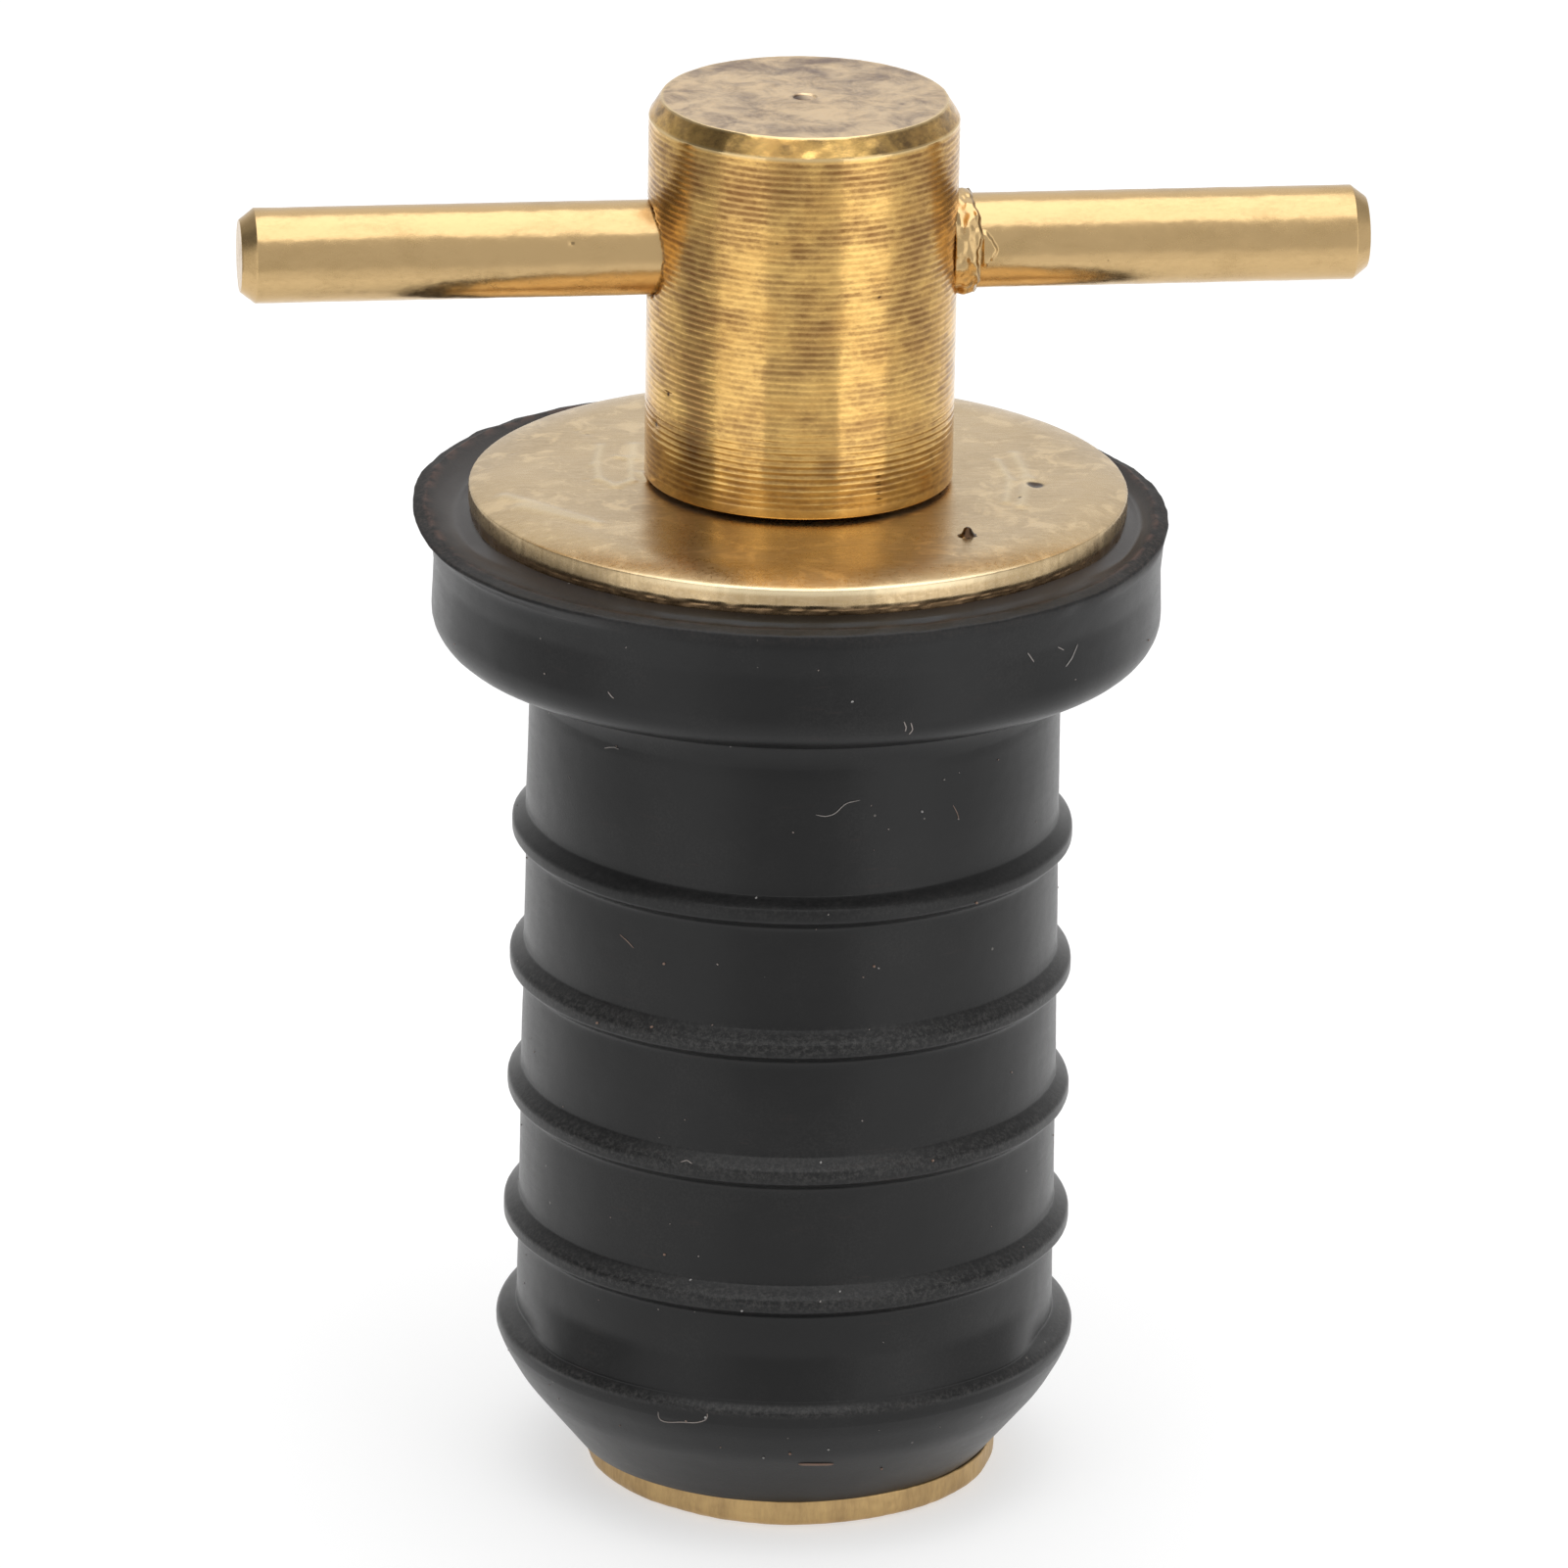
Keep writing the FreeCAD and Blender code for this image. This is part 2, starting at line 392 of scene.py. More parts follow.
nose = outline([
    (bore_radius, z_nose, 0), (nose_radius, z_nose, 0.15), (11.98, 4.6, 6), (12.76, 6.0, 5),
    (shoulder_radius, shoulder_bottom, 0)], 0.4)[:-1]
barrel_corners = [
    (shoulder_radius, shoulder_bottom, 0), (shoulder_radius + 0.04, shoulder_top - 0.5, 0.4),
    (neck_at(shoulder_top), shoulder_top, 0.15)]
for rib_z, rise in zip(rib_heights, rib_rises):
    crest = neck_at(rib_z) + rise
    barrel_corners += [
        (neck_at(rib_z), rib_z - rib_foot_below, 0.35), (crest, rib_z - rib_crest_below, 0.22),
        (crest, rib_z + rib_crest_above, 0.3), (neck_at(rib_z), rib_z + rib_foot_above, 0.15)]
barrel_corners.append((neck_at(fillet_bottom), fillet_bottom, 0))
barrel = outline(barrel_corners, 0.25)[:-1]
flange = outline([
    (neck_radius, fillet_bottom, 0), (neck_radius, z_underside, 2.0), (flange_radius, z_underside, 1.6),
    (flange_radius - 0.12, z_seat - 2.4, 3), (flange_radius, z_seat - 1.1, 0.5),
    (flange_radius + 0.05, z_seat - 0.5, 0.16), (lip_crest_radius, z_seat - 0.33, 0.1),
    (channel_radius, z_seat - 0.55, 0.3), (14.5, z_seat - 0.3, 0.1),
    (under_washer_radius, z_seat - under_washer_drop, 0.1), (bore_radius, z_seat - under_washer_drop, 0),
    (bore_radius, z_nose, 0)], 0.21)

# Rows that nobody sees are thinned out: one in 8 stays under the washer, and one in 12 in the bore.
under_washer = np.flatnonzero((flange[:, 0] < 13.4) & (flange[:, 1] > z_seat - 0.2))
in_bore = np.flatnonzero(flange[:, 0] < bore_radius + 0.01)
dropped = [rows[np.mod(np.arange(len(rows)), kept_in) > 0]
           for rows, kept_in in ((under_washer, 8), (in_bore, 12))]
flange = np.delete(flange, np.concatenate(dropped), axis=0)
sleeve_path = np.concatenate([nose, barrel, flange])
sleeve_r, sleeve_z, sleeve_angle, around_x, around_y = spread(sleeve_path, sleeve_columns)
outside = smooth(sleeve_r, bore_radius + 1, nose_radius - 1)
surface_wave = 0.018 * ripple(13, 5.0, around_x, around_y, sleeve_z)
fine_wave = 0.004 * ripple(14, 0.9, around_x, around_y, sleeve_z)

# The lip leans out and stands up unevenly: most at the left and behind, not at all in front.
from_left = sleeve_angle - (camera_side - math.pi / 2)
on_left = smooth(np.cos(from_left), 0.2, 0.95)
behind_left = smooth(np.cos(from_left + math.radians(50)), 0.3, 0.95)
on_right = smooth(np.cos(from_left + math.pi), 0.3, 0.95)
behind_right = smooth(np.cos(from_left + math.pi - math.radians(35)), 0.3, 0.95)
in_front = smooth(np.cos(sleeve_angle - camera_side), 0.3, 0.65)
beside = np.clip(np.abs(np.cos(from_left)) * 1.2 - 0.2, 0, 1)
lip_share = smooth(sleeve_z, z_seat - 1.2, z_seat - 0.55) * smooth(sleeve_r, 15.0, 15.6)
lip_ragged = 0.05 * ripple(11, 2.6, around_x, around_y, 0)
lip_ragged = lip_ragged + 0.015 * ripple(12, 0.7, around_x, around_y, sleeve_z)
lip_reach = 0.66 * on_left + 0.16 * on_right + 0.38 * behind_left + 0.1 * behind_right - 0.1
lip_rise = 0.05 * on_left + 0.68 * behind_left + 0.4 * behind_right - 0.05

# The channel between washer and lip follows the lip a little, and is squeezed full of rubber in front.
near_seat = smooth(sleeve_z, z_seat - 0.9, z_seat - 0.6)
bowl_share = smooth(sleeve_r, 13.9, 14.6) * smooth(-sleeve_r, -15.7, -15.2) * near_seat
filled = in_front * smooth(sleeve_r, 14.2, 14.5) * near_seat * (1 - smooth(sleeve_r, 15.5, 15.65))
filled_to = z_seat - 0.1 - 0.22 * (sleeve_r - 14.5) + 0.4 * lip_ragged

# The rubber sags in front, just above the shoulder ring.
sag_heights, sag_depths = (6.9, 7.35, 7.5, 9.3), (0, 0.4, 0.56, 0)
sagged = in_front * np.interp(sleeve_z, sag_heights, sag_depths) * smooth(sleeve_r, 11.0, 11.8)

sleeve_out = sleeve_r + outside * (surface_wave + fine_wave) + lip_share * (lip_reach + lip_ragged) + sagged
sleeve_up = sleeve_z + lip_share * (lip_rise + 0.6 * lip_ragged) + bowl_share * 0.35 * lip_rise
sleeve_up = sleeve_up + filled * np.clip(filled_to - sleeve_z, 0, 1)
sleeve_points = turned(sleeve_out, sleeve_up, sleeve_columns)

# The crests of the ribs and the top of the shoulder ring carry fine dust and a painted highlight.
rib_dust_and_highlight = (1, 1, 1.2, 0.3)
crest_dust_and_highlight_mask = sum(share * bell(sleeve_z - 0.05 - z, 0.7, 0.5) for z, share in zip(rib_heights, rib_dust_and_highlight))
crest_dust_and_highlight_mask = crest_dust_and_highlight_mask + bell(sleeve_z - shoulder_top + 0.35, 0.35, 0.7)
crest_dust_and_highlight_mask = np.clip(crest_dust_and_highlight_mask, 0, 1) * smooth(-sleeve_z, -z_underside, -z_underside + 1)
lip_crest = bell(sleeve_r - lip_crest_radius, 0.16, 1.0) * near_seat * (1 - 0.8 * in_front)
sleeve_piece = make_piece(
    "ribbed_sleeve", sleeve_points, ring=True, lip=lip_share * (1 - 0.7 * in_front), bowl=bowl_share * beside,
    crest=crest_dust_and_highlight_mask, lip_crest=lip_crest)


def measure(tree, label):
    """A value that the mesh keeps at each point."""
    return node(tree, "Attribute", attribute_name=label).outputs["Fac"]


def layered(colour, *layers):
    """Lays colours over a colour, one after another, each by its share from 0 to 1."""
    for share, over in layers:
        colour = mixed(share, colour, (*over, 1))
    return colour


def rubber():
    """Black rubber, dusty: a soft grey bloom in patches, a painted reddish sheen in streaks, fine dust with a
    painted highlight along the crests, a brown film round the lip, and pale specks, which are the middles of
    a Voronoi pattern's cells."""
    material, tree, shader = new_material("moulded_rubber")
    where = millimetres(tree)
    streaks = noise(millimetres(tree, (0.3, 0.3, 2.5)), 1.5, detail=5.0, roughness=0.7)
    cloud = noise(where, 0.22, detail=4.0, roughness=0.6)
    grain = noise(where, 8.0, detail=5.0, roughness=0.75)
    powder = ramp(noise(where, 5.0, detail=6.0, roughness=0.8), 0.42, 0.66)
    bloom = times(ramp(cloud, 0.4, 0.72), ramp(grain, 0.35, 0.75))
    # A painted reddish sheen lies along the stretched streaks, where the cloud noise is high.
    painted_reddish_sheen = times(ramp(streaks, 0.58, 0.74), ramp(cloud, 0.45, 0.6))
    # Dust and a painted highlight along the crests, where the powder noise is high.
    crest_dust_and_highlight = times(measure(tree, "crest"), powder)
    lip_dust = times(measure(tree, "lip"), powder)
    rust = ramp(noise(where, 1.3, detail=4.0), 0.4, 0.6)
    random_cell = node(tree, "TexVoronoi", {"Vector": where, "Scale": 0.9, "Randomness": 1.0})
    chance = node(tree, "SeparateColor", {0: random_cell.outputs["Color"]}).outputs[0]
    speck_size = times(ramp(chance, 0.45, 1.0), 0.06)
    speck = maths("LESS_THAN", random_cell.outputs["Distance"], speck_size)
    black = mixed(bloom, (0.0046, 0.0046, 0.0048, 1), (0.0155, 0.015, 0.0147, 1))
    colour = layered(
        black,
        (times(painted_reddish_sheen, 0.6), (0.022, 0.014, 0.012)),
        (times(crest_dust_and_highlight, 0.9), (0.054, 0.052, 0.05)),
        (measure(tree, "bowl"), (0.046, 0.04, 0.038)),
        (times(lip_dust, 0.7), (0.056, 0.043, 0.037)),
        (times(measure(tree, "lip_crest"), rust), (0.085, 0.05, 0.04)),
        (speck, (0.12, 0.11, 0.1)))
    link(colour, shader.inputs["Base Color"])
    link(scaled(crest_dust_and_highlight, -0.08, 0.33), shader.inputs["Specular IOR Level"])
    rough = scaled(streaks, 0.12, scaled(grain, 0.16, 0.19))
    rough = scaled(measure(tree, "lip"), 0.3, rough, clamp=True)
    link(rough, shader.inputs["Roughness"])
    bumped(shader, grain, 7e-6)
    return material


dress(sleeve_piece, rubber())
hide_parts("rubber_sleeve")
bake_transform(sleeve_piece)

# Lint
# Pale fibres, grains of dust and a few brass filings that lie on the rubber, as the plug came out of a
# workshop drawer. They stick to the sleeve and move with it.

outer_rows = (sleeve_path[:, 0] > nose_radius - 0.2) & (sleeve_path[:, 1] < z_seat - 0.7)
fibre_rows, fibre_columns = 18, 6


def on_skin(turn, height):
    """The sleeve's surface at an angle in degrees and a height: its profile and waves, as x, y, z."""
    radius = np.interp(height, sleeve_path[outer_rows, 1], sleeve_path[outer_rows, 0])
    x, y = radius * np.cos(np.radians(turn)), radius * np.sin(np.radians(turn))
    radius = radius + 0.018 * ripple(13, 5.0, x, y, height) + 0.004 * ripple(14, 0.9, x, y, height)
    return np.stack([radius * np.cos(np.radians(turn)), radius * np.sin(np.radians(turn)), height], axis=-1)


def fibre(thickness, bends):
    """A thin tube on the rubber through the listed (angle, height) places.

    The line through them is evened out, lifted half its thickness off the rubber, and set about with
    circles, whose size falls towards both ends as the root of 1 - 0.9 t^6, with t from -1 to 1.
    """
    evenings = 2
    along = np.linspace(0, len(bends) - 1, fibre_rows)
    turn, height = [np.interp(along, range(len(bends)), values) for values in zip(*bends)]
    for line in (turn, height) * evenings:
        line[1:-1] = (line[:-2] + 2 * line[1:-1] + line[2:]) / 4
    centre = on_skin(turn, height)
    outward = centre * (1, 1, 0) / np.hypot(centre[:, 0], centre[:, 1])[:, None]
    sideways = np.cross(np.gradient(centre, axis=0), outward)
    sideways = (sideways / np.linalg.norm(sideways, axis=1)[:, None])[:, None]
    outward = outward[:, None]
    girth = thickness * np.sqrt(1 - 0.9 * np.linspace(-1, 1, fibre_rows) ** 6)[:, None, None]
    turns = full_turn(fibre_columns)[:, :, None]
    circles = np.cos(turns) * outward + np.sin(turns) * sideways
    return centre[:, None] + girth * circles + 0.5 * girth * outward


# Fibres are (thickness, tone, places), filings (angle, height) and grains (angle, height, thickness).
fibres = (
    (0.022, 0.8, ((-92.6, 34.77), (-90.5, 34.67), (-88.4, 34.79), (-86.3, 35.27), (-83.1, 35.36))),
    (0.018, 0.3, ((-61.1, 34.52), (-60.0, 34.12), (-59.5, 33.78))),
    (0.022, 0.8, ((-142.1, 36.48), (-140.7, 36.6), (-139.0, 36.69), (-137.9, 36.65))),
    (0.028, 0.7, ((-80.4, 40.4), (-80.0, 40.11), (-80.1, 39.92))),
    (0.028, 0.7, ((-79.3, 40.32), (-78.9, 39.98), (-79.4, 39.74))),
    (0.02, 0.3, ((-136.6, 28.14), (-134.7, 27.96), (-132.8, 27.69))),
    (0.024, 0.8, ((-58.8, 42.64), (-58.2, 42.42), (-57.5, 42.16))),
    (0.022, 0.9, ((-50.7, 41.51), (-49.2, 41.81), (-47.8, 42.35))),
    (0.022, 0.8, ((-52.4, 42.52), (-51.1, 42.3))),
    (0.022, 0.7, ((-127.5, 41.04), (-126.8, 40.86), (-126.4, 40.79))),
    (0.024, 0.7, ((-122.5, 6.63), (-122.5, 6.17), (-120.2, 6.17), (-117.6, 6.35), (-115.0, 6.35),
                  (-112.0, 6.62), (-112.4, 7.0))),
    (0.06, 0.2, ((-93.8, 4.22), (-89.9, 4.18), (-86.0, 4.13))),
    (0.022, 0.7, ((-119.4, 18.42), (-118.2, 18.51), (-116.9, 18.42))),
    (0.02, 0.8, ((-100.5, 38.5), (-99.2, 38.2))))
filings = (
    (-79.7, 27.61), (-57.0, 29.96), (-125.4, 27.28), (-140.0, 23.99), (-126.9, 24.41), (-66.8, 18.35),
    (-124.0, 13.7), (-96, 4.9), (-74, 3.4))
grains = (
    (-69.2, 34.5, 0.06), (-106.1, 11.8, 0.05), (-112.8, 6.71, 0.06), (-90.6, 18.69, 0.05),
    (-107.8, 8.1, 0.04), (-105.0, 30.91, 0.04), (-88.8, 41.43, 0.04), (-117.7, 12.76, 0.04),
    (-86.2, 12.61, 0.04), (-101.5, 4.6, 0.05), (-88, 5.1, 0.04))
lint = list(fibres)
lint += [(0.055, 0.2, ((turn, height), (turn + 0.5, height + 0.03))) for turn, height in filings]
lint += [(size, 1.0, ((turn, height), (turn + 0.4, height + 0.04))) for turn, height, size in grains]
random = np.random.default_rng(61)
dust_count = 150
dust = zip(random.uniform(-180, 180, dust_count), random.uniform(2.2, 43.4, dust_count),
           random.uniform(0.014, 0.034, dust_count), random.uniform(0.3, 0.9, dust_count))
for turn, height, size, tone in dust:
    far_end = (turn + random.uniform(0.1, 0.4), height + random.uniform(-0.07, 0.07))
    lint.append((size, tone, ((turn, height), far_end)))
lint_points = np.stack([fibre(thickness, bends) for thickness, tone, bends in lint])
lint_tone = np.array([tone for thickness, tone, bends in lint])[:, None, None]
lint_piece = make_piece("lint_and_filings", lint_points, tone=lint_tone)

filing_brown, lint_grey = (0.2, 0.1, 0.055, 1), (0.33, 0.32, 0.31, 1)
lint_material, lint_tree, lint_shader = new_material("pale_lint", Roughness=0.6)
lint_grain = noise(millimetres(lint_tree), 6.0, detail=3.0)
lint_tone_level = maths("SUBTRACT", measure(lint_tree, "tone"), 0.15)
lint_share = scaled(lint_grain, 0.3, lint_tone_level)
link(mixed(lint_share, filing_brown, lint_grey), lint_shader.inputs["Base Color"])
dress(lint_piece, lint_material)
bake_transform(lint_piece)

# Top washer
# Stamped from sheet brass, satin, with tool dents and a few pits. The die rolled its upper edge over,
# sheared its side smooth and tore the lower edge. It lies loose on the flange and spreads the knob's load.

washer_low, washer_high = in_mm(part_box("top_washer"))
washer_radius = washer_high[0]
washer_top, washer_bottom = washer_high[2], washer_low[2]
washer_hole = 4.3
under_knob_radius = 6.6
flat_radius, back_radius = 13.0, 13.2
roll_start, roll_depth = 12.1, 0.4
washer_columns = 480
washer_flat = np.concatenate([np.linspace(washer_hole, under_knob_radius, 6, endpoint=False),
                              np.arange(under_knob_radius, flat_radius, 0.09)])
washer_flat = np.stack([washer_flat, np.full(len(washer_flat), washer_top)], axis=1)
washer_edge = outline([
    (flat_radius, washer_top, 0), (washer_radius, washer_top, 0.13),
    (washer_radius, washer_bottom + 0.35, 0.02), (washer_radius - 0.05, washer_bottom, 0.05),
    (back_radius, washer_bottom, 0)], 0.08)
washer_back = outline([
    (back_radius, washer_bottom, 0), (washer_hole, washer_bottom, 0.1), (washer_hole, washer_top, 0.1),
    (washer_hole + 0.2, washer_top, 0)], 1.5)[1:-1]
washer_path = np.concatenate([washer_flat, washer_edge, washer_back])
washer_r, washer_z, washer_angle, washer_x, washer_y = spread(washer_path, washer_columns)


def stroke(x, y, start, stop, width):
    """Height of a rounded ridge along the line from start to stop: exp(-(distance / width)^2)."""
    start, stop = np.array(start), np.array(stop)
    along = stop - start
    share = np.clip(((x - start[0]) * along[0] + (y - start[1]) * along[1]) / (along @ along), 0, 1)
    distance = np.hypot(x - start[0] - share * along[0], y - start[1] - share * along[1])
    return np.exp(-(distance / width) ** 2)


# Dents are (start, stop, width) in x and y, pits (x, y, size, depth). A crumb of dirt lies on the first pit.
crumb_x, crumb_y = 6.3, -8.75
dent_strokes = (
    ((-8.2, 4.9), (-8.7, 2.2), 0.2), ((-8.7, 2.2), (-8.8, 0.2), 0.2), ((-8.8, 0.2), (-8.2, -0.8), 0.2),
    ((-8.2, -0.8), (-7.4, -0.2), 0.22), ((-7.4, -0.2), (-7.1, 2.9), 0.16), ((-7.1, 2.9), (-7.7, 3.3), 0.16),
    ((-6.7, 4.9), (-7.0, 3.0), 0.25), ((-6.9, 0.9), (-6.6, -0.2), 0.22), ((9.0, 1.4), (9.2, -1.4), 0.2),
    ((9.2, -1.4), (8.6, -4.4), 0.2), ((9.9, 2.4), (10.0, -1.2), 0.25), ((10.0, -1.2), (9.2, -4.9), 0.25),
    ((-13.2, -1.6), (-9.6, -5.9), 0.3), ((-12.6, -3.2), (-10.2, -5.4), 0.35))
washer_pits = (
    (crumb_x, crumb_y, 0.3, 1.0), (10.24, -2.0, 0.38, 1.0), (-8.6, 6.6, 0.26, 0.34), (-9.0, 7.1, 0.18, 0.34),
    (-9.4, 0.2, 0.12, 0.4), (-8.0, -1.3, 0.12, 0.4), (-9.1, -0.6, 0.1, 0.4), (9.3, -3.8, 0.09, 1.0),
    (-12.2, 4.3, 0.12, 0.4))
on_top = smooth(washer_z, washer_top - 0.05, washer_top) * smooth(washer_r, 5.0, 5.6)
dents = sum(stroke(washer_x, washer_y, start, stop, width) for start, stop, width in dent_strokes)
dents = np.clip(dents, 0, 1)
pits = sum(depth * np.exp(-(np.hypot(washer_x - x, washer_y - y) / size) ** 2)
           for x, y, size, depth in washer_pits)
from_crumb = np.hypot(washer_x - crumb_x, washer_y - crumb_y)
crumb = np.exp(-(from_crumb / 0.25) ** 4)
flatness = 0.012 * ripple(21, 7.0, washer_x, washer_y, 0) + 0.003 * ripple(22, 1.6, washer_x, washer_y, 0)
side = smooth(washer_r, washer_radius - 0.12, washer_radius - 0.02)
torn = side * smooth(-washer_z, -washer_bottom - 0.62, -washer_bottom - 0.4)
torn_depth = (0.03 * ripple(23, 1.3, washer_x, washer_y, washer_z)
              + 0.02 * ripple(25, 0.25, washer_x, washer_y, washer_z) - 0.04)
washer_out = washer_r + torn * torn_depth + 0.008 * side * ripple(24, 0.35, washer_x, washer_y, 0)

# The roll lowers the top's outer part, and the outer part of the underside bends down with it.
upper = smooth(washer_z, washer_bottom + 0.3, washer_top - 0.2)
roll_drop = roll_depth * np.clip((washer_r - roll_start) / (washer_radius - roll_start), 0, 1) ** 2.2
washer_up = washer_z + on_top * (0.07 * dents - 0.08 * pits + 0.45 * crumb + flatness) - 0.03 * on_top
washer_up = washer_up - roll_drop * upper - 0.27 * smooth(washer_r, 13.3, washer_radius) * (1 - upper)
washer_points = turned(washer_out, washer_up, washer_columns)

# A painted highlight brightens the corner of the rim where it faces the camera's side.
painted_rim_highlight = smooth(washer_r, washer_radius - 0.3, washer_radius - 0.1)
painted_rim_highlight = painted_rim_highlight * smooth(washer_z, washer_top - 0.4, washer_top - 0.15)
painted_rim_highlight = painted_rim_highlight * smooth(np.cos(washer_angle - camera_side - 0.1), 0.76, 0.99)
washer_piece = make_piece(
    "top_washer_disc", washer_points, ring=True, pit=np.maximum(pits, from_crumb < 0.4) * on_top, torn=torn,
    side=side, rubbed=dents * on_top, rim=painted_rim_highlight)


def washer_brass():
    """Satin brass with fine scratches across, pale blotches and rubbed dents. Upright shear marks darken its
    side, the torn edge is brown, the rim's corner carries a painted highlight, and pits and crumb are nearly
    black."""
    made = brass("stamped_washer_brass", (0.59, 0.43, 0.23), (0.445, 0.33, 0.19), 0.27, patch=0.25,
                 cover=(0.3, 0.85), grain=5.0, bump=4e-6)
    tree = made.tree
    scratches = noise(millimetres(tree, (0.12, 1, 1)), 9.0, detail=4.0, roughness=0.7)
    shear_marks = noise(millimetres(tree, (1, 1, 0.05)), 4.5, detail=4.0, roughness=0.7)
    blotches = noise(made.where, 0.7, detail=6.0, roughness=0.65, distortion=0.6)
    colour = layered(
        made.colour,
        (ramp(scratches, 0.35, 0.8), (0.655, 0.5, 0.305)),
        (ramp(blotches, 0.5, 0.66), (0.74, 0.56, 0.325)),
        (times(measure(tree, "rubbed"), 0.45), (0.82, 0.68, 0.45)),
        (times(ramp(shear_marks, 0.5, 0.85), measure(tree, "side")), (0.42, 0.3, 0.15)),
        # painted highlight on the rim's corner
        (measure(tree, "rim"), (0.88, 0.73, 0.47)),
        (ramp(measure(tree, "pit"), 0.2, 0.55), (0.06, 0.035, 0.02)),
        (times(measure(tree, "torn"), 0.8), (0.33, 0.2, 0.105)))
    height = maths("ADD", times(scratches, 0.5), times(shear_marks, 0.5))
    return finish_brass(made, colour, height=height)


dress(washer_piece, washer_brass())
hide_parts("top_washer")
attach(washer_piece, "sleeve")

# Knob
# A brass cylinder turned on a lathe, which left its coarse feed as a fine helix, and parted off at the top
# with a centre mark. It is tapped from below, and cross drilled for the handle bar.

knob_low, knob_high = in_mm(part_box("knob"))
bar_low, bar_high = in_mm(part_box("handle_bar"))
knob_radius = knob_high[0]
knob_bottom, knob_top = knob_low[2], knob_high[2]
knob_chamfer_radial, knob_chamfer_axial = 0.54, 0.86
bar_z = (bar_low[2] + bar_high[2]) / 2
bar_radius = 2.08
feed = 0.293
feed_depth = 0.013
rows_per_feed = 7
knob_bore = 4.05
bore_entry = 0.4
bore_end = bar_z - bar_radius - 0.8
pole_radius = 0.03
knob_columns = 192
face = outline([
    (pole_radius, knob_top - 0.04, 0), (0.36, knob_top - 0.04, 0.05), (0.46, knob_top - 0.08, 0.03),
    (0.56, knob_top, 0.05), (knob_radius - knob_chamfer_radial, knob_top, 0.05),
    (knob_radius, knob_top - knob_chamfer_axial, 0.06), (knob_radius, knob_top - 1.2, 0)], 0.12)[:-1]
face = face[(face[:, 1] > knob_top - 0.98) | (face[:, 0] < knob_radius - 0.01)]
wall_z = np.arange(knob_top - 1.0, knob_bottom + 0.32, -feed / rows_per_feed)
wall = np.stack([np.full(len(wall_z), knob_radius), wall_z], axis=1)
foot = outline([
    (knob_radius, knob_bottom + 0.3, 0), (knob_radius, knob_bottom - 0.1, 0.14),
    (knob_bore + bore_entry, knob_bottom, 0.05), (knob_bore, knob_bottom + bore_entry, 0.05),
    (knob_bore, bore_end, 0.1), (pole_radius, bore_end, 0)], 0.8)
knob_path = np.concatenate([face, wall, foot])
knob_r, knob_z, knob_angle, knob_x, knob_y = spread(knob_path, knob_columns)
knob_turn = np.degrees(np.arctan2(knob_y, knob_x))

# The feed marks are scallops along a helix, wavering a little and of uneven depth. The mouth is where the
# wall sinks round the bar, less on the right, where the collar covers it; its colour is painted shade.
feed_waver = 0.05 * ripple(30, 2.5, knob_x, knob_y, 2 * knob_z)
feed_phase = np.mod(knob_z / feed + knob_angle / (2 * np.pi) + feed_waver, 1)
scallop = 1 - (2 * feed_phase - 1) ** 2
feed_strength = 0.85 + 0.3 * ripple(31, 3.0, knob_x, knob_y, 3 * knob_z)
on_wall = smooth(knob_r, knob_radius - 0.1, knob_radius - 0.02)
on_wall *= smooth(knob_z, knob_bottom + 0.1, knob_bottom + 0.4)
on_wall *= smooth(-knob_z, -knob_top + 0.9, -knob_top + 1.1)
from_bar = np.hypot(knob_y, knob_z - bar_z) + 0.06 * ripple(32, 0.8, knob_x, knob_y, knob_z)
mouth = on_wall * (1 - smooth(from_bar, bar_radius + 0.02, bar_radius + 0.16))
mouth = mouth * np.where(knob_x < 0, 1.0, 0.5)


def spots(listed, across, up):
    """The sum of soft spots (strength, middle across, middle up, half width across, half width up)."""
    return sum(strength * np.exp(-((across - a) / wide) ** 2 - ((up - b) / tall) ** 2)
               for strength, a, b, wide, tall in listed)


# Stains on the wall and the chamfer lie at an angle in degrees and a height, those on the face at x and y.
wall_stains = spots([
    (0.9, -142, 56.4, 6, 2.4), (1.5, -139, 50.3, 4.5, 3.0), (2.2, -141, 49.3, 5, 1.2),
    (0.8, -118, 60.5, 10, 2.5), (0.6, -140, 61.1, 7, 1.4), (0.8, -50, 59.5, 9, 1.8),
    (0.6, -48, 56.1, 12, 2.4), (0.8, -78, 62.0, 30, 0.9), (0.5, -95, 53.8, 8, 1.2), (0.6, -160, 58.3, 8, 3),
    (-0.7, -118, 57.9, 8, 0.9), (-0.6, -92, 59.5, 7, 0.5), (-0.9, -78, 58.2, 3.5, 1.2),
    (-0.5, -100, 51.3, 12, 1.5)], knob_turn, knob_z)
chamfer_stains = spots([
    (0.2, -140, 63.3, 13, 1), (0.2, -165, 63.3, 14, 1), (0.6, -60, 63.3, 14, 1),
    (0.4, -30, 63.3, 12, 1)], knob_turn, knob_z)
face_stains = spots([
    (0.9, -5.15, 0.27, 1.0, 0.8), (0.9, 1.1, 3.9, 2.0, 0.5), (1.2, 1.3, 5.4, 1.3, 0.5),
    (0.8, -2.9, -2.6, 1.9, 0.8), (0.9, -0.9, -4.9, 1.9, 0.7), (0.8, -2.5, 5.2, 2.5, 0.8),
    (0.9, 4.9, 3.4, 1.6, 1.6), (1.5, 4.08, -1.43, 0.14, 0.14), (0.5, 3.0, -1.0, 1.5, 0.4),
    (1.6, -0.42, -0.1, 0.14, 0.3), (0.9, 0.1, -0.4, 0.4, 0.1)], knob_x, knob_y)
